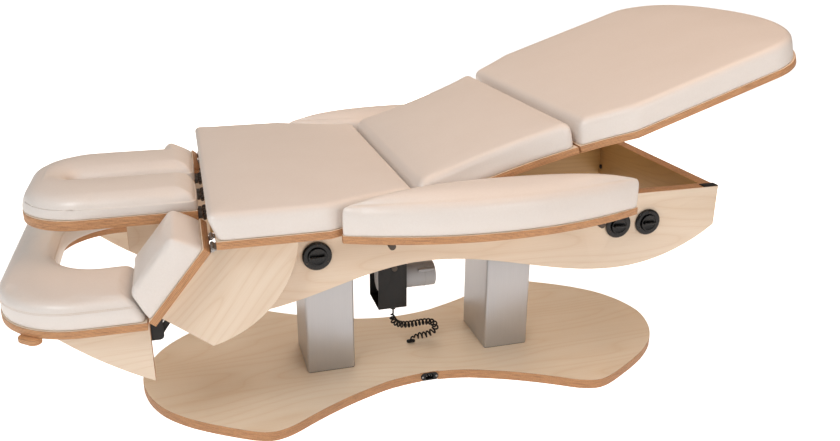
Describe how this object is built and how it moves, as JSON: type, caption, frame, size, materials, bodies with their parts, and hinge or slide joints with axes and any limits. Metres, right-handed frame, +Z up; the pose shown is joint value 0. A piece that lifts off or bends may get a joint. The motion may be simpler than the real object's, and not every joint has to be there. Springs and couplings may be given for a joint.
{
  "type": "treatment table",
  "caption": "Height-adjustable treatment table on a plywood base with lifting columns, a raised tilting top, a slotted face rest, a drop-down arm shelf and pull-out armrests.",
  "frame": {"origin": "on the floor under the middle of the base plate", "axes": "+X along the table towards the foot end, +Y away from the viewer of the picture, +Z up"},
  "size_m": [2.0106, 1.016, 0.9883],
  "materials": {
    "ply": "clear satin lacquer over pale maple veneer",
    "ply_edge": "clear satin lacquer over layered ply edges",
    "upholstery": "soft ivory upholstery leather with a low sheen",
    "column": "satin anodised",
    "fittings": "brushed",
    "black_plastic": "matt black",
    "black_metal": "satin black paint",
    "motor": "satin light grey",
    "bright_metal": "polished",
    "rubber": "matt black"
  },
  "bodies": {
    "base": {"base_plate": "ply", "head_column_outer": "column", "foot_column_outer": "column", "column_seals": "rubber", "inlet_housing": "black_plastic", "inlet_metal": "bright_metal", "base_grommet": "black_plastic", "curly_cord": "rubber"},
    "column_stage": {"column_middles": "column"},
    "frame": {"head_column_inner": "column", "foot_column_inner": "column", "near_side_panel": "ply", "far_side_panel": "ply", "end_panels": "ply", "bearers": "ply", "drive_rail": "ply", "drive_bracket": "black_metal", "drive_pivot": "fittings", "chest_board": "ply_edge", "chest_cushion": "upholstery", "corner_bumpers": "rubber", "knob_flanges": "black_plastic", "armrest_bushings": "black_plastic", "frame_hinges": "fittings", "cord_gland": "black_plastic"},
    "knob_a": {"knob_a": "black_plastic"},
    "knob_b": {"knob_b": "black_plastic"},
    "knob_c": {"knob_c": "black_plastic"},
    "near_armrest": {"near_armrest_board": "ply_edge", "near_armrest_cushion": "upholstery", "near_armrest_bars": "fittings"},
    "far_armrest": {"far_armrest_board": "ply_edge", "far_armrest_cushion": "upholstery", "far_armrest_bars": "fittings"},
    "middle_section": {"middle_board": "ply_edge", "middle_cushion": "upholstery", "middle_hinges": "fittings", "drive_clevis": "fittings"},
    "leg_section": {"leg_board": "ply_edge", "leg_cushion": "upholstery", "leg_hinges": "fittings"},
    "drive_tube": {"actuator_motor": "motor", "actuator_housing": "black_plastic"},
    "drive_rod": {"actuator_rod": "bright_metal"},
    "face_rest": {"face_board": "ply_edge", "face_cushion": "upholstery", "face_hinges": "fittings"},
    "arms": {"arm_boards": "ply_edge", "arm_cushions": "upholstery", "wing_panels": "ply", "arm_hinges": "fittings"},
    "arm_shelf": {"shelf_board": "ply_edge", "shelf_cushion": "upholstery", "gusset_panels": "ply", "shelf_feet": "ply_edge", "shelf_plates": "black_metal"},
    "links": {"links": "black_metal"}
  },
  "joints": [
    {"name": "lift", "type": "slide", "parent": "base", "child": "frame", "axis": [0, 0, 1], "range_m": [0, 0.3], "deforming": ["curly_cord"]},
    {"name": "column_stage_slide", "type": "slide", "parent": "base", "child": "column_stage", "axis": [0, 0, 1], "range_m": [0, 0.15]},
    {"name": "middle_tilt", "type": "hinge", "parent": "frame", "child": "middle_section", "pos_m": [-0.081, 0, 0.546], "axis": [0, -1, 0], "range_deg": [-18.55, 0]},
    {"name": "leg_tilt", "type": "hinge", "parent": "middle_section", "child": "leg_section", "pos_m": [0.32795, 0, 0.68522], "axis": [0, -1, 0], "range_deg": [0, 6]},
    {"name": "drive_tube_swing", "type": "hinge", "parent": "frame", "child": "drive_tube", "pos_m": [-0.06, 0, 0.3], "axis": [0, -1, 0], "range_deg": [-10.42, 0]},
    {"name": "drive_rod_slide", "type": "slide", "parent": "drive_tube", "child": "drive_rod", "axis": [0.6278, 0, 0.7784], "range_m": [-0.05958, 0]},
    {"name": "face_rest_tilt", "type": "hinge", "parent": "frame", "child": "face_rest", "pos_m": [-0.563, 0, 0.546], "axis": [0, 1, 0], "range_deg": [-8, 20]},
    {"name": "arm_drop", "type": "hinge", "parent": "frame", "child": "arms", "pos_m": [-0.556, 0, 0.55], "axis": [0, 1, 0], "range_deg": [0, 51]},
    {"name": "shelf_level", "type": "hinge", "parent": "arms", "child": "arm_shelf", "pos_m": [-0.68695, 0, 0.36446], "axis": [0, 1, 0], "range_deg": [-51, 0]},
    {"name": "link_swing", "type": "hinge", "parent": "frame", "child": "links", "pos_m": [-0.556, 0, 0.514], "axis": [0, 1, 0], "range_deg": [0, 51]},
    {"name": "near_armrest_pull", "type": "slide", "parent": "frame", "child": "near_armrest", "axis": [0, -1, 0], "range_m": [0, 0.12]},
    {"name": "far_armrest_pull", "type": "slide", "parent": "frame", "child": "far_armrest", "axis": [0, 1, 0], "range_m": [0, 0.12]},
    {"name": "knob_a_turn", "type": "hinge", "parent": "frame", "child": "knob_a", "pos_m": [-0.317, -0.32, 0.469], "axis": [0, -1, 0], "continuous": true},
    {"name": "knob_b_turn", "type": "hinge", "parent": "frame", "child": "knob_b", "pos_m": [0.483, -0.32, 0.469], "axis": [0, -1, 0], "continuous": true},
    {"name": "knob_c_turn", "type": "hinge", "parent": "frame", "child": "knob_c", "pos_m": [0.571, -0.32, 0.469], "axis": [0, -1, 0], "continuous": true}
  ],
  "couplings": [
    {"joint": "column_stage_slide", "follows": "lift", "ratio": 0.5},
    {"joint": "drive_tube_swing", "follows": "middle_tilt", "ratio": 0.561},
    {"joint": "drive_rod_slide", "follows": "middle_tilt", "m_per_rad": 0.184},
    {"joint": "shelf_level", "follows": "arm_drop", "ratio": -1},
    {"joint": "link_swing", "follows": "arm_drop", "ratio": 1}
  ]
}
